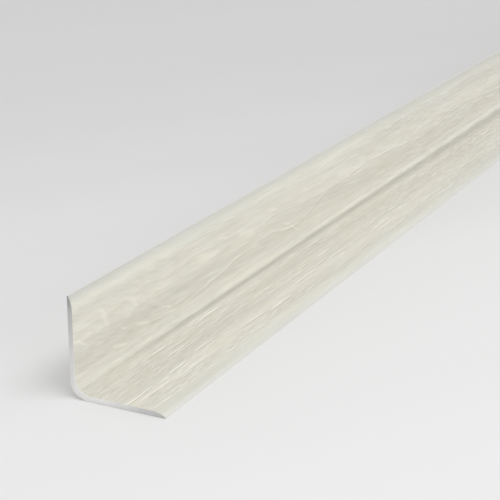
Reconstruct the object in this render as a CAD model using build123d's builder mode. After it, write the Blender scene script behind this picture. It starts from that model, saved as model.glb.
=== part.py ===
from build123d import *
import os

# Internal corner trim: one extruded strip of equal-leg L section with feathered lips.
# X runs along the strip and Z is up. One leg lies flat as the foot and points to -Y,
# and the other stands upright with its plain back facing +Y.
# The origin is under the middle of the strip, on the plane that the foot lies on.

# Driving dimensions, in millimetres
strip_length = 1000.0  # one strip as it is sold
leg_width = 25.0  # each leg, from the back of the corner to the edge of its lip
wall = 1.3  # thickness of both legs
heel_radius = 4.4  # rounding of the outside corner
cove_radius = 4.2  # rounding of the inside corner, which leaves the wall thicker there
lip_length = 3.8  # stretch over which a leg thins out towards its edge
lip_edge = 0.4  # thickness that is left at the edge of a lip

# Worked out from the driving dimensions
back = leg_width / 2  # rear face of the upright leg
front = back - leg_width  # edge of the foot
inside_back = back - wall  # decor face of the upright leg

with BuildPart() as corner_trim:
    with BuildSketch(Plane.YZ) as section:
        with BuildLine():
            # Decor side: each face runs from the inside corner and bends over to its lip
            foot_face = Line((inside_back, wall), (front + lip_length, wall))
            foot_lip = TangentArc(foot_face @ 1, (front, lip_edge), tangent=foot_face % 1)
            upright_face = Line((inside_back, wall), (inside_back, leg_width - lip_length))
            upright_lip = TangentArc(
                upright_face @ 1, (back - lip_edge, leg_width), tangent=upright_face % 1
            )
            # Plain side: the two flat backs and the blunt edges of the lips
            Polyline(foot_lip @ 1, (front, 0), (back, 0), (back, leg_width), upright_lip @ 1)
        make_face()
        fillet(section.vertices().sort_by_distance((back, 0))[0], radius=heel_radius)
        fillet(section.vertices().sort_by_distance((inside_back, wall))[0], radius=cove_radius)
    extrude(amount=strip_length / 2, both=True)

corner_trim.part.label = "corner_trim"

os.makedirs("parts", exist_ok=True)
export_step(corner_trim.part, "parts/corner_trim.step")
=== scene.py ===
import math

import bmesh
import bpy
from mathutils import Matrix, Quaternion, Vector


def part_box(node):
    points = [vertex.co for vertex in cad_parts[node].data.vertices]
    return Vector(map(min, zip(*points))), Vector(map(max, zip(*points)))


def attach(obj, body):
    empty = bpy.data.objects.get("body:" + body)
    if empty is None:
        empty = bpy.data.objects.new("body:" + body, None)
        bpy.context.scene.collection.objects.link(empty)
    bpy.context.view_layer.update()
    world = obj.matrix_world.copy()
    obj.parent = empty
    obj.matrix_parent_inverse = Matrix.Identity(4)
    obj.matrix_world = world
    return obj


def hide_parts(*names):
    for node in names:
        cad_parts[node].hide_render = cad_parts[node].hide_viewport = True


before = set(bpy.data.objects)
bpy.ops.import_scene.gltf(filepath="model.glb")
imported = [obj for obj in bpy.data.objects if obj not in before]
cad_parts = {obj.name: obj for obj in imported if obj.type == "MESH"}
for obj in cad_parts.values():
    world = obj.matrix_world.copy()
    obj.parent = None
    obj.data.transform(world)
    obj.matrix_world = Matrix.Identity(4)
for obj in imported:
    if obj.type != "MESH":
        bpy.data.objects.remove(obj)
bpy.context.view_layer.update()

MM = 0.001

# Section of the trim, as in the part's source
WALL = 1.3 * MM
HEEL_RADIUS = 4.4 * MM
COVE_RADIUS = 4.2 * MM
LIP_LENGTH = 3.8 * MM
LIP_EDGE = 0.4 * MM

# Places of the strip, from the frame
strip_low, strip_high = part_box("corner_trim")
LENGTH = strip_high.x - strip_low.x
LEG = strip_high.z - strip_low.z
BACK = strip_high.y
FRONT = strip_low.y
FLOOR = strip_low.z
TOP = strip_high.z
DECOR_BACK = BACK - WALL
DECOR_FLOOR = FLOOR + WALL

# How finely the strip is cut
ARC_CUTS = 18
LIP_CUTS = 11
FLAT_CUTS = 47
FIRST_LENGTH_CUTS = 99
SECOND_LENGTH_CUTS = 3
ARRIS = 0.12 * MM

TINY = 0.01 * MM

# Materials of the strip, in the order of its slots
FILM, PLASTIC, SAWN = 0, 1, 2


def edit(piece):
    """Open one piece, and no other, in edit mode."""
    bpy.ops.object.select_all(action="DESELECT")
    piece.select_set(True)
    bpy.context.view_layer.objects.active = piece
    bpy.ops.object.mode_set(mode="EDIT")


def pick(kind, test):
    """Select only the vertices, edges or faces that pass a test, in edit mode."""
    bpy.ops.mesh.select_mode(type={"verts": "VERT", "edges": "EDGE", "faces": "FACE"}[kind])
    bpy.ops.mesh.select_all(action="DESELECT")
    data = bpy.context.edit_object.data
    mesh = bmesh.from_edit_mesh(data)
    for item in getattr(mesh, kind):
        if test(item):
            item.select_set(True)
    bmesh.update_edit_mesh(data)


def near(a, b):
    return abs(a - b) < TINY


def at(vertex, y=None, z=None):
    """Whether a vertex lies on a line along the strip."""
    return (y is None or near(vertex.co.y, y)) and (z is None or near(vertex.co.z, z))


def runs_along(edge, y, z):
    """Whether an edge runs lengthwise at this place of the section."""
    return all(at(v, y, z) for v in edge.verts)


def on_sawn_end(edge):
    one, two = edge.verts
    return near(one.co.x, two.co.x)


def crosses(edge, axis, low, high):
    """Whether an edge of the sawn ends lies within this stretch of a decor face."""
    if not on_sawn_end(edge):
        return False
    for v in edge.verts:
        place = v.co.y if axis == "y" else v.co.z
        level = v.co.z if axis == "y" else v.co.y
        face = DECOR_FLOOR if axis == "y" else DECOR_BACK
        if not near(level, face) or place < low - TINY or place > high + TINY:
            return False
    return True


LIP_DROP = WALL - LIP_EDGE
LIP_RADIUS = (LIP_LENGTH**2 + LIP_DROP**2) / (2 * LIP_DROP)


def lip_drop(run):
    """How far a lip has bent down at this run past its start."""
    return LIP_RADIUS - math.sqrt(LIP_RADIUS**2 - run**2)


def plain_angle_bar():
    """A slab for the foot, whose back strip is drawn up into the upright leg."""
    bpy.ops.object.select_all(action="DESELECT")
    middle = (strip_low + strip_high) / 2
    bpy.ops.mesh.primitive_cube_add(size=1, location=(middle.x, middle.y, FLOOR + WALL / 2))
    bar = bpy.context.active_object
    bar.name = "corner_trim_strip"
    bar.scale = (LENGTH, LEG, WALL)
    bpy.ops.object.transform_apply(location=True, rotation=True, scale=True)
    edit(bar)
    bpy.ops.mesh.select_all(action="SELECT")
    bpy.ops.mesh.bisect(plane_co=(0, DECOR_BACK, 0), plane_no=(0, 1, 0))
    pick("faces", lambda f: f.normal.z > 0.9 and f.calc_center_median().y > DECOR_BACK)
    bpy.ops.mesh.extrude_region_move(TRANSFORM_OT_translate={"value": (0, 0, LEG - WALL)})
    bpy.ops.mesh.select_all(action="SELECT")
    bpy.ops.mesh.remove_doubles(threshold=TINY)
    bpy.ops.mesh.dissolve_limited(angle_limit=math.radians(1))
    return bar


def round_corner():
    """Round the heel outside and the cove inside."""
    for y, z, radius in ((BACK, FLOOR, HEEL_RADIUS), (DECOR_BACK, DECOR_FLOOR, COVE_RADIUS)):
        pick("edges", lambda e: runs_along(e, y, z))
        bpy.ops.mesh.bevel(
            offset_type="OFFSET", offset=radius, segments=ARC_CUTS, profile=0.5, affect="EDGES", clamp_overlap=False
        )


def feather_lip(axis):
    """Mark where a leg starts to thin out, cut the lip into narrow strips and bend them down."""
    if axis == "y":
        tip, start, cove = FRONT, FRONT + LIP_LENGTH, DECOR_BACK - COVE_RADIUS
        low, high = tip, cove
    else:
        tip, start, cove = TOP, TOP - LIP_LENGTH, DECOR_FLOOR + COVE_RADIUS
        low, high = cove, tip
    level = DECOR_FLOOR if axis == "y" else DECOR_BACK
    pick("edges", lambda e: crosses(e, axis, low, high))
    bpy.ops.mesh.subdivide(number_cuts=1)
    half_way = (low + high) / 2
    place = {"y": half_way, "z": level} if axis == "y" else {"z": half_way, "y": level}
    pick("verts", lambda v: at(v, **place))
    shift = start - half_way
    bpy.ops.transform.translate(value=(0, shift, 0) if axis == "y" else (0, 0, shift))
    pick("edges", lambda e: crosses(e, axis, min(start, cove), max(start, cove)))
    bpy.ops.mesh.subdivide(number_cuts=FLAT_CUTS)
    pick("edges", lambda e: crosses(e, axis, min(start, tip), max(start, tip)))
    bpy.ops.mesh.subdivide(number_cuts=LIP_CUTS)
    for cut in range(1, LIP_CUTS + 2):
        run = LIP_LENGTH * cut / (LIP_CUTS + 1)
        along = start + (tip - start) * cut / (LIP_CUTS + 1)
        place = {"y": along, "z": level} if axis == "y" else {"z": along, "y": level}
        pick("verts", lambda v: at(v, **place))
        drop = lip_drop(run)
        bpy.ops.transform.translate(value=(0, 0, -drop) if axis == "y" else (0, drop, 0))


def cut_lengthwise():
    for cuts in (FIRST_LENGTH_CUTS, SECOND_LENGTH_CUTS):
        pick("edges", lambda e: not on_sawn_end(e))
        bpy.ops.mesh.subdivide(number_cuts=cuts)


def break_sharp_ends():
    """Take the sharp edge off both sawn ends, all round."""
    ends = (strip_low.x, strip_high.x)
    pick("edges", lambda e: any(all(near(v.co.x, x) for v in e.verts) for x in ends))
    bpy.ops.mesh.bevel(
        offset_type="OFFSET", offset=ARRIS, segments=2, profile=0.5, affect="EDGES", clamp_overlap=True
    )


# The grain pressed into the decor side
GRAIN_LONG = 14.0 * MM
GRAIN_WIDE = 0.9 * MM
GRAIN_DEPTH = 0.05 * MM


def section_place(place):
    """Distance out from the back and up from the foot's underside."""
    return BACK - place.y, place.z - FLOOR


def fade(value, full, none):
    """One up to a first value, then falling to nothing at a second."""
    return min(1.0, max(0.0, (none - value) / (none - full)))


def grain_share(place):
    """How much of the grain a place takes: all of it on the decor faces, none on the backs, the lips and the ends."""
    out, up = section_place(place)
    corner = WALL + COVE_RADIUS
    if out < corner and up < corner:
        if math.hypot(corner - out, corner - up) > COVE_RADIUS + TINY:
            return 0.0
    elif min(out, up) < WALL - TINY:
        return 0.0
    to_end = min(place.x - strip_low.x, strip_high.x - place.x)
    return fade(max(out, up), LEG - LIP_LENGTH - 3 * MM, LEG - LIP_LENGTH) * fade(-to_end, -3 * MM, -1 * MM)


def press_grain(bar):
    """Press shallow oak grain into the decor side; it only goes inwards."""
    group = bar.vertex_groups.new(name="grain")
    for vertex in bar.data.vertices:
        group.add([vertex.index], grain_share(vertex.co), "REPLACE")
    bpy.ops.object.select_all(action="DESELECT")
    bpy.ops.object.empty_add(location=(0, 0, 0))
    measure = bpy.context.active_object
    measure.scale = (GRAIN_LONG, GRAIN_WIDE, GRAIN_WIDE)
    bpy.context.view_layer.update()
    grain = bpy.data.textures.new("oak grain", "CLOUDS")
    grain.noise_scale = 1.0
    grain.noise_depth = 1
    press = bar.modifiers.new("pressed grain", "DISPLACE")
    press.texture = grain
    press.texture_coords = "OBJECT"
    press.texture_coords_object = measure
    press.vertex_group = group.name
    press.mid_level = 1.0
    press.strength = GRAIN_DEPTH
    bpy.context.view_layer.objects.active = bar
    bpy.ops.object.modifier_apply(modifier=press.name)
    bpy.ops.object.vertex_group_remove(all=True)
    bpy.ops.object.delete()


# Places on the sheet that the strip is laid out on for baking, in pixels
SHEET = 1024
STRETCHES = 10
STRETCH_ROWS = 5
DECOR_FINENESS = 4.3 / MM
STRETCH_WIDE, STRETCH_HIGH = 437, 203.8
DECOR_LEFT, DECOR_LOW = 5, 3.5
BACKS_LEFT, BACKS_LOW = 880, 12
FRONT_EDGE_LEFT, TOP_EDGE_LEFT, EDGE_WIDE = 934, 944, 4
END_LEFT, NEAR_END_LOW, FAR_END_LOW = 954, 12, 96
BACKS_FINENESS = 1 / MM
END_FINENESS = 2.6 / MM
SPREAD = 0.5 * MM


def spread_ends(along):
    """Distance along the strip, with the narrow rounding of its ends drawn out."""
    for to_end, sense in ((along, -1), (LENGTH - along, 1)):
        if to_end < ARRIS:
            along += sense * SPREAD * (1 - to_end / ARRIS)
    return along


def decor_run(out, up):
    """Distance over the decor side, from the edge of the upper lip to this place."""
    lip = LIP_RADIUS * math.asin(LIP_LENGTH / LIP_RADIUS)
    flat = LEG - LIP_LENGTH - WALL - COVE_RADIUS
    corner = WALL + COVE_RADIUS
    bend = LEG - LIP_LENGTH
    if up > bend:
        return lip - LIP_RADIUS * math.asin(min(1.0, (up - bend) / LIP_RADIUS))
    if up > corner:
        return lip + bend - up
    if out < corner:
        return lip + flat + COVE_RADIUS * math.atan2(corner - up, corner - out)
    run = lip + flat + COVE_RADIUS * math.pi / 2
    if out < bend:
        return run + out - corner
    return run + flat + LIP_RADIUS * math.asin(min(1.0, (out - bend) / LIP_RADIUS))


def backs_run(out, up):
    """Distance over the plain side, from the edge of the foot to this place."""
    if out > HEEL_RADIUS:
        return LEG - out
    if up > HEEL_RADIUS:
        return LEG - HEEL_RADIUS + HEEL_RADIUS * math.pi / 2 + up - HEEL_RADIUS
    return LEG - HEEL_RADIUS + HEEL_RADIUS * math.atan2(HEEL_RADIUS - out, HEEL_RADIUS - up)


def sheet_place(face, place):
    """Where a corner of a face lies on the sheet, in pixels."""
    out, up = section_place(place)
    along = spread_ends(place.x - strip_low.x)
    if face.material_index == SAWN:
        low = NEAR_END_LOW if face.center.x < 0 else FAR_END_LOW
        return END_LEFT + out * END_FINENESS, low + up * END_FINENESS
    if face.material_index == PLASTIC:
        high = BACKS_LOW + along * BACKS_FINENESS
        if face.center.y < FRONT + TINY and face.center.z > FLOOR + TINY:
            return FRONT_EDGE_LEFT + EDGE_WIDE * up / LIP_EDGE, high
        if face.center.z > TOP - TINY:
            return TOP_EDGE_LEFT + EDGE_WIDE * out / LIP_EDGE, high
        return BACKS_LEFT + backs_run(out, up) * BACKS_FINENESS, high
    stretch = min(int((face.center.x - strip_low.x) / LENGTH * STRETCHES), STRETCHES - 1)
    column, row = divmod(stretch, STRETCH_ROWS)
    across = DECOR_LEFT + column * STRETCH_WIDE + (along - stretch * LENGTH / STRETCHES) * DECOR_FINENESS
    return across, DECOR_LOW + row * STRETCH_HIGH + decor_run(out, up) * DECOR_FINENESS


def lay_out_for_baking(bar):
    """Lay the strip out flat: its decor side in ten stretches, with its backs, edges and ends beside them."""
    sheet = bar.data.uv_layers.new(name="OFBake")
    for face in bar.data.polygons:
        for corner in face.loop_indices:
            x, y = sheet_place(face, bar.data.vertices[bar.data.loops[corner].vertex_index].co)
            sheet.data[corner].uv = (x / SHEET, y / SHEET)


def is_sawn(face):
    return abs(face.normal.x) > 0.9


def is_plain(face):
    """Whether a face is on the plain side: a flat back, the heel or the blunt edge of a lip."""
    middle = face.calc_center_median()
    if face.normal.y > 0.2 and middle.y > DECOR_BACK + TINY or face.normal.z < -0.2:
        return True
    on_front_edge = middle.y < FRONT + 0.1 * MM and middle.z < FLOOR + LIP_EDGE
    on_top_edge = middle.z > TOP - 0.1 * MM and face.normal.z > 0.9
    return on_front_edge or on_top_edge


class Nodes:
    """Short ways to lay down the nodes of one material."""

    def __init__(self, name):
        self.material = bpy.data.materials.new(name)
        self.material.use_nodes = True
        self.tree = self.material.node_tree
        self.shader = self.tree.nodes["Principled BSDF"]

    def feed(self, socket, value):
        if isinstance(value, bpy.types.NodeSocket):
            self.tree.links.new(value, socket)
        else:
            socket.default_value = value

    def set(self, name, value):
        self.feed(self.shader.inputs[name], value)

    def maths(self, operation, *values):
        made = self.tree.nodes.new("ShaderNodeMath")
        made.operation = operation
        for socket, value in zip(made.inputs, values):
            self.feed(socket, value)
        return made.outputs[0]

    def total(self, *values):
        result = values[0]
        for value in values[1:]:
            result = self.maths("ADD", result, value)
        return result

    def times(self, *values):
        result = values[0]
        for value in values[1:]:
            result = self.maths("MULTIPLY", result, value)
        return result

    def step(self, value, start, end, low=0.0, high=1.0):
        """An eased change from low to high while the value goes from start to end."""
        made = self.tree.nodes.new("ShaderNodeMapRange")
        made.interpolation_type = "SMOOTHSTEP"
        for name, number in (("Value", value), ("From Min", start), ("From Max", end), ("To Min", low), ("To Max", high)):
            self.feed(made.inputs[name], number)
        return made.outputs[0]

    def noise(self, x, y, detail=1.0, seed=0.0):
        """Soft noise about zero, of size one in both directions."""
        place = self.tree.nodes.new("ShaderNodeCombineXYZ")
        self.feed(place.inputs[0], x)
        self.feed(place.inputs[1], y)
        place.inputs[2].default_value = seed
        made = self.tree.nodes.new("ShaderNodeTexNoise")
        made.inputs["Scale"].default_value = 1
        made.inputs["Detail"].default_value = detail
        self.feed(made.inputs["Vector"], place.outputs[0])
        return self.maths("SUBTRACT", made.outputs["Fac"], 0.5)

    def curve(self, value, low, high, stops, course="EASE"):
        """A smooth course through a few listed stops, given as place and level; the two ends come first."""
        made = self.tree.nodes.new("ShaderNodeValToRGB")
        ramp = made.color_ramp
        ramp.interpolation = course
        for count, (place, level) in enumerate(stops):
            position = (place - low) / (high - low)
            stop = ramp.elements[count] if count < 2 else ramp.elements.new(position)
            stop.position = position
            stop.color = (level, level, level, 1)
        reach = self.tree.nodes.new("ShaderNodeMapRange")
        for name, number in (("Value", value), ("From Min", low), ("From Max", high)):
            self.feed(reach.inputs[name], number)
        self.feed(made.inputs["Fac"], reach.outputs[0])
        return made.outputs["Color"]

    def chance(self, x, y, seed):
        """A number from 0 to 1 that is different for each pair of whole numbers."""
        place = self.tree.nodes.new("ShaderNodeCombineXYZ")
        self.feed(place.inputs[0], x)
        self.feed(place.inputs[1], y)
        place.inputs[2].default_value = seed
        made = self.tree.nodes.new("ShaderNodeTexWhiteNoise")
        self.feed(made.inputs["Vector"], place.outputs[0])
        return made.outputs["Value"]

    def dashes(self, along, lane, length, spacing, share, seed):
        """Short fine lines in rows: a pale line and the dark line at its side."""
        rows = self.times(lane, 1 / spacing)
        row = self.maths("FLOOR", rows)
        run = self.total(self.times(along, 1 / length), self.times(self.chance(row, 0.5, seed), 9.0))
        cell = self.maths("FLOOR", run)
        strength = self.step(self.chance(cell, row, seed + 1), 1 - share, 1.1 - 0.4 * share)
        half = self.total(0.2, self.times(self.chance(cell, row, seed + 2), 0.28))
        from_middle = self.maths("ABSOLUTE", self.maths("SUBTRACT", self.maths("FRACT", run), 0.5))
        strength = self.times(strength, self.step(from_middle, half, self.times(half, 0.5)))
        side = self.maths("SUBTRACT", self.maths("FRACT", rows), 0.5)
        pale = self.step(self.maths("ABSOLUTE", self.total(side, 0.14)), 0.3, 0.12)
        dark = self.step(self.maths("ABSOLUTE", self.total(side, -0.27)), 0.21, 0.08)
        return self.times(pale, strength), self.times(dark, strength)

    def blend(self, low, high, share):
        """Low where the share is 0 and high where it is 1."""
        return self.total(low, self.times(share, self.maths("SUBTRACT", high, low)))

    def spots(self, along, height, places, roughness):
        """Soft patches, long or round, level or sloping, with a rough edge."""
        result = 0.0
        for middle, level, long, high, slope in places:
            aside = self.total(along, -middle)
            x = self.times(aside, 1 / long)
            y = self.times(self.total(height, -level, self.times(aside, -slope)), 1 / high)
            reach = self.total(self.times(x, x), self.times(y, y), roughness)
            result = self.maths("MAXIMUM", result, self.step(reach, 1.0, 0.3))
        return result

    def stain(self, colour, red, blue):
        """A colour with its red and its blue share changed."""
        shares = self.tree.nodes.new("ShaderNodeCombineXYZ")
        self.feed(shares.inputs[0], red)
        shares.inputs[1].default_value = 1
        self.feed(shares.inputs[2], blue)
        made = self.tree.nodes.new("ShaderNodeVectorMath")
        made.operation = "MULTIPLY"
        self.feed(made.inputs[0], colour)
        self.feed(made.inputs[1], shares.outputs[0])
        return made.outputs[0]

    def tint(self, colour, level):
        """A colour made lighter or darker by a level about one."""
        made = self.tree.nodes.new("ShaderNodeVectorMath")
        made.operation = "SCALE"
        made.inputs[0].default_value = colour
        self.feed(made.inputs["Scale"], level)
        return made.outputs[0]

    def bump(self, height, depth):
        made = self.tree.nodes.new("ShaderNodeBump")
        made.inputs["Strength"].default_value = 1
        made.inputs["Distance"].default_value = depth
        self.feed(made.inputs["Height"], height)
        self.set("Normal", made.outputs[0])

    def place(self):
        """Millimetres along the strip from its near end, out from its back and up from its foot's underside."""
        made = self.tree.nodes.new("ShaderNodeTexCoord")
        split = self.tree.nodes.new("ShaderNodeSeparateXYZ")
        self.feed(split.inputs[0], made.outputs["Object"])
        x, y, z = split.outputs
        along = self.times(self.maths("SUBTRACT", x, strip_low.x), 1 / MM)
        out = self.times(self.maths("SUBTRACT", BACK, y), 1 / MM)
        up = self.times(self.maths("SUBTRACT", z, FLOOR), 1 / MM)
        return along, out, up


# Where the pale line of the oak figure runs on the upright leg: millimetres along the strip and over the foot
FIGURE = (
    (0, 10.1), (1000, 11.4), (15, 6.8), (35, 5.4), (54, 4.8), (73, 6.8), (87, 8.4), (97, 8.9), (107, 8.2), (116, 6.9),
    (124, 7.0), (139, 10.7), (156, 11.6), (178, 12.4), (215, 10.0), (232, 9.0), (268, 12.2), (310, 9.2), (345, 11.0),
    (385, 12.6), (425, 8.2), (455, 6.4), (500, 10.0), (545, 12.2), (605, 8.8), (650, 6.4), (705, 10.6), (760, 12.6),
    (830, 8.6), (890, 6.6), (945, 9.8),
)

# A smooth course holds levels up to one, so the heights are shares of this reach there
FIGURE_REACH = 20.0

# Painted light and shade across the film's width: painted shade at the edges of the lips, a painted highlight beside
# the cove and small lighter and darker stripes between; millimetres from the crease, below zero on the upright leg
WIDTH_PAINTED_LIGHT_AND_SHADE = (
    (-24.6, 0.86), (24.6, 1.05), (-23.4, 0.92), (-22.4, 0.99), (-21.2, 1.07), (-18.2, 1.01), (-15.0, 1.06),
    (-12.8, 1.08), (-10.4, 1.03), (-8.6, 1.01), (-6.5, 1.03), (-5.3, 1.03), (-3.7, 1.06), (-2.3, 1.01),
    (-1.2, 1.03), (-0.4, 1.0), (0.6, 0.98), (3.0, 1.03), (4.2, 1.08), (5.2, 1.07), (6.5, 1.0), (9.5, 1.04),
    (12.0, 1.01), (14.2, 1.07), (16.6, 1.06), (18.9, 1.02), (20.6, 1.01), (22.2, 1.02),
)

# Painted shade and highlight at the fold: a dark line of painted shade with a pale painted highlight under it, by
# millimetres below the middle of the cove
FOLD_PAINTED_SHADE_AND_HIGHLIGHT = (
    (-0.6, 1.0), (5.5, 1.0), (-0.25, 0.985), (0.05, 0.935), (0.35, 0.87), (0.65, 0.81), (1.0, 0.775), (1.5, 0.775),
    (2.0, 0.815), (2.6, 0.905), (3.2, 0.995), (3.8, 1.03), (4.4, 1.025),
)

# Marks on the upright leg: millimetres along the strip and over the foot of the middle, half the length,
# half the height and the slope of each
PALE_PATCHES = (
    (13.5, 14.1, 2.6, 1.9, -1.3), (27.0, 13.4, 2.2, 1.2, -0.9), (63.0, 13.6, 9.0, 1.6, -0.1), (86.0, 13.6, 6.0, 1.6, -0.3),
    (158.0, 13.2, 12.0, 1.3, -0.05), (372.0, 13.8, 10.0, 1.8, -0.1), (478.0, 12.8, 7.0, 2.0, -0.4),
    (640.0, 13.8, 12.0, 1.6, -0.1), (812.0, 13.0, 8.0, 2.0, -0.3), (918.0, 13.6, 10.0, 1.8, -0.1),
)
PALE_STROKES = (
    (3.8, 11.1, 2.6, 0.5, -0.6), (11.1, 8.4, 3.0, 0.4, -0.1), (21.3, 8.6, 1.9, 0.4, -0.5), (30.7, 6.5, 4.6, 0.45, -0.2),
    (20.0, 4.6, 4.0, 0.7, -0.25), (42.3, 6.8, 3.6, 0.4, -0.35), (49.0, 6.1, 3.6, 0.4, 0.05), (66.0, 6.4, 3.6, 0.45, 0.06),
    (72.6, 16.0, 3.0, 0.4, -0.15), (91.8, 7.9, 3.2, 0.4, 0.0), (104.0, 15.2, 3.4, 0.4, -0.18), (113.0, 8.6, 3.0, 0.45, -0.32),
    (118.5, 5.6, 3.2, 0.45, -0.6),
)
FLECK_CLUSTERS = (
    (116.0, 7.4, 5.0, 1.7, 0.0), (150.0, 12.2, 5.0, 1.1, 0.0), (207.0, 10.8, 6.0, 1.9, 0.0), (226.0, 9.2, 6.0, 1.5, 0.0),
    (260.0, 10.6, 9.0, 1.9, 0.0), (398.0, 9.6, 7.0, 1.8, 0.0), (466.0, 8.4, 6.0, 1.5, 0.0), (561.0, 11.2, 8.0, 1.9, 0.0),
    (668.0, 8.2, 6.0, 1.6, 0.0), (746.0, 11.4, 8.0, 1.8, 0.0), (853.0, 8.8, 6.0, 1.6, 0.0), (931.0, 10.4, 7.0, 1.8, 0.0),
)


def printed_film_with_painted_shading():
    """Pale limed oak: soft bands, a cathedral figure on the upright and fine pores, printed and embossed, with painted
    light and shade across its width and at the fold.
    """
    film = Nodes("printed oak film with painted shading")
    along, out, up = film.place()
    across = film.maths("SUBTRACT", out, up)
    height = film.times(across, -1.0)
    from_crease = film.maths("ABSOLUTE", across)
    on_upright = film.step(across, -2.0, -5.0)
    on_foot = film.times(film.step(across, 1.5, 3.5), film.step(across, 21.5, 19.5))
    off_lips = film.step(from_crease, 22.5, 19.0, 0.4, 1.0)
    # the grain wanders slowly, more on the upright than on the foot
    drift = film.noise(film.times(along, 1 / 60), film.times(across, 1 / 11), seed=1.3)
    ripple = film.noise(film.times(along, 1 / 12), film.times(across, 1 / 3), seed=4.1)
    drift = film.times(drift, film.total(2.0, film.times(on_upright, 2.5)))
    ripple = film.times(ripple, film.total(0.4, film.times(on_upright, 1.0)))
    lane = film.total(across, drift, ripple)
    # its marks are shorter by the near end
    run = film.total(film.times(along, 0.5), film.times(film.maths("MINIMUM", along, 50.0), 0.5))
    # on the upright it also leans, most by the near end
    lean = film.total(film.times(along, 0.03), film.times(film.maths("MINIMUM", along, 40.0), 0.1))
    slant = film.maths("SUBTRACT", lane, lean)
    # soft bands of tone along the strip
    bands = film.noise(film.times(along, 1 / 90), film.times(lane, 1 / 3.4), detail=2, seed=2.2)
    streaks = film.noise(film.times(along, 1 / 30), film.times(lane, 1 / 0.85), detail=3, seed=7.5)
    streaks = film.times(streaks, film.step(on_upright, 0.0, 1.0, 1.0, 0.4))
    # short soft marks and fine threads
    mottle = film.blend(
        film.noise(film.times(run, 1 / 7), film.times(lane, 1 / 0.9), detail=3, seed=15.2),
        film.noise(film.times(run, 1 / 9), film.times(slant, 1 / 1.5), detail=2, seed=12.1),
        on_upright,
    )
    threads = film.blend(
        film.noise(film.times(run, 1 / 2.8), film.times(lane, 1 / 0.45), detail=1, seed=18.4),
        film.noise(film.times(run, 1 / 4.6), film.times(slant, 1 / 0.42), detail=1, seed=14.6),
        on_upright,
    )
    # the figure: a wandering pale line in a darker field, with broken lines beside it
    stops = [(place, level / FIGURE_REACH) for place, level in FIGURE]
    line_height = film.times(film.curve(along, 0, 1000, stops, "CARDINAL"), FIGURE_REACH)
    wavering = film.total(height, film.times(ripple, -1.0), film.times(threads, 0.5))
    over_line = film.maths("SUBTRACT", wavering, line_height)
    field_top = film.maths("MAXIMUM", line_height, film.step(along, 45.0, 105.0, 12.2, 7.0))
    over_field = film.maths("SUBTRACT", wavering, field_top)
    below = film.times(film.step(over_field, 0.2, -0.5), film.step(height, 4.2, 7.2))
    unbroken = film.step(film.noise(film.times(along, 1 / 9), film.times(lane, 1 / 1.3), seed=5.5), -0.13, 0.05)
    unbroken = film.times(unbroken, film.step(along, 28.0, 45.0))
    line = film.times(film.step(film.maths("ABSOLUTE", over_line), 0.5, 0.08), unbroken, on_upright)
    unbroken_under = film.noise(film.times(along, 1 / 13), film.times(lane, 1 / 1.3), seed=9.4)
    unbroken_under = film.times(film.step(unbroken_under, -0.1, 0.08), film.step(along, 28.0, 45.0))
    under_line = film.step(film.maths("ABSOLUTE", film.total(over_line, 1.7)), 0.5, 0.08)
    under_line = film.times(under_line, unbroken_under, on_upright, film.step(height, 4.2, 6.0))
    line_shade = film.step(film.maths("ABSOLUTE", film.total(over_line, 0.7)), 0.5, 0.15)
    line_shade = film.times(line_shade, unbroken, on_upright)
    # pale patches, most of them by the near end
    rough_edge = film.noise(film.times(along, 1 / 5), film.times(slant, 1 / 1.6), detail=3, seed=3.2)
    patches = film.spots(along, height, PALE_PATCHES, film.times(rough_edge, 2.2))
    strokes = film.spots(along, film.total(height, film.times(ripple, -0.4)), PALE_STROKES, film.times(rough_edge, 1.2))
    # pores: pale dashes with a dark side, close on the foot and in loose groups on the upright
    groups = film.noise(film.times(along, 1 / 34), film.times(lane, 1 / 3.0), seed=6.6)
    groups = film.step(groups, -0.1, 0.07, 0.12, 1.0)
    long_pale, long_dark = film.dashes(along, lane, 24.0, 0.95, 0.5, 11.0)
    fine_pale, fine_dark = film.dashes(along, film.total(lane, 0.31), 8.0, 0.62, 0.55, 21.0)
    slant_pale, slant_dark = film.dashes(run, slant, 8.0, 0.75, 0.5, 41.0)
    foot_share = film.times(film.maths("MAXIMUM", groups, film.step(along, 45.0, 15.0, 0.0, 0.6)), on_foot)
    upright_share = film.times(groups, on_upright, off_lips, film.step(along, 30.0, 110.0, 0.12, 0.65))
    pale = film.total(
        film.times(film.maths("MAXIMUM", long_pale, fine_pale), foot_share), film.times(slant_pale, upright_share))
    dark = film.total(
        film.times(film.maths("MAXIMUM", long_dark, fine_dark), foot_share), film.times(slant_dark, upright_share))
    # short flecks side by side, in a few clusters of the upright
    clusters = film.times(film.spots(along, height, FLECK_CLUSTERS, film.times(rough_edge, 2.2)), on_upright)
    fleck, fleck_dark = film.dashes(along, film.total(across, ripple, film.times(along, -0.08)), 4.4, 0.7, 0.8, 31.0)
    fine = film.total(
        film.times(mottle, off_lips, film.step(along, 150.0, 220.0, 0.21, 0.19)),
        film.times(threads, off_lips, film.step(along, 150.0, 220.0, 0.23, 0.42)),
        film.times(pale, 0.34),
        film.times(dark, -0.31),
    )
    level = film.total(
        1.0,
        film.times(bands, 0.2),
        film.times(streaks, 0.2),
        fine,
        film.times(below, on_upright, -0.034),
        film.times(line, 0.12),
        film.times(under_line, 0.07),
        film.times(line_shade, -0.045),
        film.times(patches, on_upright, 0.07),
        film.times(strokes, on_upright, 0.1),
        film.times(fleck, clusters, 0.17),
        film.times(fleck_dark, clusters, -0.17),
    )
    # the film's painted light and shade across its width, and 3% darker from 120 to 330 mm along the strip
    level = film.times(level, film.curve(across, -24.6, 24.6, WIDTH_PAINTED_LIGHT_AND_SHADE), film.step(along, 120.0, 330.0, 1.0, 0.97))
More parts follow.
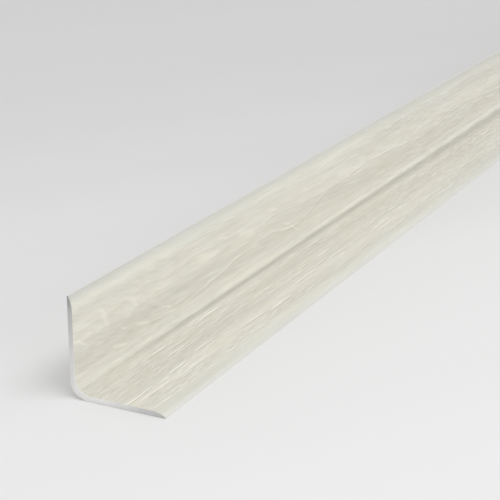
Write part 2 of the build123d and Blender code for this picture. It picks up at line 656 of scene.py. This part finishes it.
    # painted light and shade on the lips: a little lighter by the near end and darker further along
    painted_lip_light = film.times(film.step(from_crease, 15.0, 20.5), film.step(along, 90.0, 300.0, 0.015, -0.03))
    level = film.times(level, film.total(1.0, painted_lip_light))
    # the painted shade and highlight of the fold are finer and fainter by the near end
    fineness = film.step(along, 0.0, 330.0, 1.5, 0.5)
    painted_fold_shade = film.curve(film.times(across, fineness), -0.6, 5.5, FOLD_PAINTED_SHADE_AND_HIGHLIGHT)
    faintness = film.step(along, 50.0, 5.0, 0.0, 0.8)
    level = film.times(level, film.total(painted_fold_shade, film.times(faintness, film.maths("SUBTRACT", 1.0, painted_fold_shade))))
    # the colour wavers a little; in the cove it is warmer, as the colour of the painted fold shade, and on the lips it
    # is less red and more blue
    warmth = film.noise(film.times(along, 1 / 16), film.times(slant, 1 / 2.4), detail=2, seed=17.7)
    red = film.total(film.step(from_crease, 18.5, 24.4, 0.996, 0.974), film.times(warmth, 0.042), film.times(fine, -0.04))
    in_cove = film.maths("ABSOLUTE", film.total(across, -0.4))
    blue = film.times(film.step(in_cove, 1.0, 3.4, 0.962, 0.988), film.step(from_crease, 21.5, 24.4, 1.0, 1.045))
    blue = film.total(blue, film.times(warmth, -0.065), film.times(fine, 0.12))
    film.set("Base Color", film.stain(film.tint((0.68, 0.66, 0.59), level), red, blue))
    film.set("Roughness", film.total(0.23, film.times(dark, 0.15)))
    # the lips are duller
    film.set("Specular IOR Level", film.step(from_crease, 20.0, 22.5, 0.5, 0.15))
    film.bump(film.total(film.times(dark, -1.0), film.times(streaks, 0.6), film.times(threads, 0.4)), 0.012 * MM)
    return film.material


def bare_plastic():
    """The plain backs: white plastic with faint lines from the extrusion die."""
    bare = Nodes("bare white plastic")
    along, out, up = bare.place()
    across = bare.maths("SUBTRACT", out, up)
    around = bare.total(out, up)
    lines = bare.noise(bare.times(along, 1 / 240), bare.times(across, 1 / 0.35), detail=2, seed=2.0)
    cloud = bare.noise(bare.times(along, 1 / 18), bare.times(around, 1 / 9), detail=3, seed=5.0)
    level = bare.total(1.0, bare.times(lines, 0.10), bare.times(cloud, 0.06))
    bare.set("Base Color", bare.tint((0.72, 0.705, 0.66), level))
    bare.set("Roughness", bare.total(0.42, bare.times(cloud, 0.2)))
    bare.bump(lines, 0.02 * MM)
    return bare.material


def sawn_plastic():
    """The sawn ends: pale core with fine saw lines, and painted shade that makes them greyer towards the thin lips."""
    sawn = Nodes("sawn plastic")
    along, out, up = sawn.place()
    lines = sawn.noise(sawn.times(sawn.total(out, sawn.times(up, 0.35)), 1 / 0.16), sawn.times(up, 1 / 6), seed=3.0)
    cloud = sawn.noise(sawn.times(out, 1 / 1.6), sawn.times(up, 1 / 1.6), detail=3, seed=1.0)
    # painted shade: the sawn face darker towards both lips and lightest by the corner
    up_painted_shade = sawn.curve(up, 0.0, 25.0, ((0.0, 1.0), (25.0, 0.38), (7.0, 0.91), (11.0, 0.86), (14.0, 0.76), (20.0, 0.63)))
    out_painted_shade = sawn.curve(out, 0.0, 25.0, ((0.0, 1.0), (25.0, 0.61), (9.0, 1.0), (14.0, 0.88), (20.0, 0.7)))
    level = sawn.total(sawn.times(up_painted_shade, out_painted_shade), sawn.times(lines, 0.08), sawn.times(cloud, 0.06))
    sawn.set("Base Color", sawn.tint((0.87, 0.865, 0.85), level))
    sawn.set("Roughness", sawn.total(0.55, sawn.times(cloud, 0.3)))
    sawn.bump(lines, 0.02 * MM)
    return sawn.material


def corner_trim():
    bar = plain_angle_bar()
    round_corner()
    feather_lip("y")
    feather_lip("z")
    cut_lengthwise()
    break_sharp_ends()
    bpy.ops.mesh.select_all(action="SELECT")
    bpy.ops.mesh.normals_make_consistent(inside=False)
    for made in (printed_film_with_painted_shading(), bare_plastic(), sawn_plastic()):
        bar.data.materials.append(made)
    for slot, test in ((PLASTIC, is_plain), (SAWN, is_sawn)):
        pick("faces", test)
        bar.active_material_index = slot
        bpy.ops.object.material_slot_assign()
    bpy.ops.object.mode_set(mode="OBJECT")
    press_grain(bar)
    lay_out_for_baking(bar)
    bpy.ops.object.select_all(action="DESELECT")
    bar.select_set(True)
    bpy.context.view_layer.objects.active = bar
    bpy.ops.object.shade_smooth_by_angle(angle=math.radians(35))
    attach(bar, "root")
    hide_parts("corner_trim")
    return bar


def pale_floor():
    """A matt pale floor whose painted light falls off away from the camera."""
    paint = Nodes("pale floor")
    place = paint.tree.nodes.new("ShaderNodeTexCoord")
    split = paint.tree.nodes.new("ShaderNodeSeparateXYZ")
    paint.feed(split.inputs[0], place.outputs["Object"])
    x, y, _ = split.outputs
    away = paint.total(paint.times(x, 0.5), paint.times(y, 0.87))
    # painted light: the floor's tone falls off away from the camera as the light would
    painted_light_falloff = paint.curve(away, -0.4, 0.4, (
        (-0.4, 0.87), (0.4, 0.63), (-0.32, 0.85), (-0.27, 0.82), (-0.21, 0.8), (-0.17, 0.76), (-0.13, 0.74),
        (-0.07, 0.705), (0.0, 0.67), (0.06, 0.655), (0.15, 0.65), (0.22, 0.64),
    ))
    cloud = paint.noise(paint.times(x, 9.0), paint.times(y, 9.0), detail=3)
    paint.set("Base Color", paint.tint((1.0, 1.0, 1.0), paint.total(painted_light_falloff, paint.times(cloud, 0.01))))
    paint.set("Roughness", 0.9)
    paint.set("Specular IOR Level", 0.2)
    return paint.material


def studio_floor():
    bpy.ops.object.select_all(action="DESELECT")
    bpy.ops.mesh.primitive_plane_add(size=12, location=(0, 0, FLOOR))
    floor = bpy.context.active_object
    floor.name = "studio_floor"
    floor.data.materials.append(pale_floor())


# Camera, placed by the near end of the strip in units of one leg
NEAR_CORNER = Vector((strip_low.x, BACK, FLOOR))
CAMERA_PLACE = NEAR_CORNER + LEG * Vector((-10.343, -7.057, 5.680))
CAMERA_TURN = math.radians(26.75)
CAMERA_DIP = math.radians(18.88)
FOCAL_PIXELS = 1477.8
IMAGE_PIXELS = 500


def camera():
    bpy.ops.object.camera_add(location=CAMERA_PLACE)
    made = bpy.context.active_object
    forward = Vector((
        math.cos(CAMERA_TURN) * math.cos(CAMERA_DIP),
        math.sin(CAMERA_TURN) * math.cos(CAMERA_DIP),
        -math.sin(CAMERA_DIP),
    ))
    made.rotation_euler = forward.to_track_quat("-Z", "Y").to_euler()
    made.data.sensor_width = 36
    made.data.lens = made.data.sensor_width * FOCAL_PIXELS / IMAGE_PIXELS
    made.data.clip_start = 0.01
    bpy.context.scene.camera = made


LIT_PLACE = Vector((strip_low.x + 0.17 * LENGTH, 0, FLOOR))
LAMP_DISTANCE = 24.0


def softbox(name, turn, rise, wide, high, brightness, roll=0):
    """A large soft lamp that looks at the strip from a turn from +X and a rise over the floor, in degrees.

    Its width and its height are shares of its distance.
    """
    wide, high = wide * LAMP_DISTANCE, high * LAMP_DISTANCE
    turn, rise = math.radians(turn), math.radians(rise)
    towards = Vector((math.cos(turn) * math.cos(rise), math.sin(turn) * math.cos(rise), math.sin(rise)))
    bpy.ops.object.light_add(type="AREA", location=LIT_PLACE + LAMP_DISTANCE * towards)
    lamp = bpy.context.active_object
    lamp.name = name
    facing = (-towards).to_track_quat("-Z", "Y")
    lamp.rotation_euler = (Quaternion(towards, math.radians(roll)) @ facing).to_euler()
    lamp.data.shape = "RECTANGLE"
    lamp.data.size = wide
    lamp.data.size_y = high
    lamp.data.energy = brightness * math.pi * wide * high


def studio_light():
    world = bpy.data.worlds.new("studio")
    bpy.context.scene.world = world
    world.use_nodes = True
    world.node_tree.nodes["Background"].inputs["Color"].default_value = (1, 1, 1, 1)
    world.node_tree.nodes["Background"].inputs["Strength"].default_value = 0.63
    softbox("front softbox", 262, 20, 1.13, 0.53, 0.97)
    softbox("high front softbox", 262, 60, 1.0, 0.35, 2.55)
    softbox("left softbox", 222, 55, 0.8, 0.45, 0.48)
    softbox("right slanting panel", 337, 16, 0.63, 0.3, 0.51, roll=-34)
    softbox("right softbox", 24, 24, 0.4, 0.3, 0.15)
    softbox("back softbox", 95, 35, 1.0, 0.53, 0.35)
    softbox("high back softbox", 95, 60, 1.0, 0.4, 0.4)


corner_trim()
studio_floor()
camera()
studio_light()
bpy.context.scene.view_settings.view_transform = "Standard"
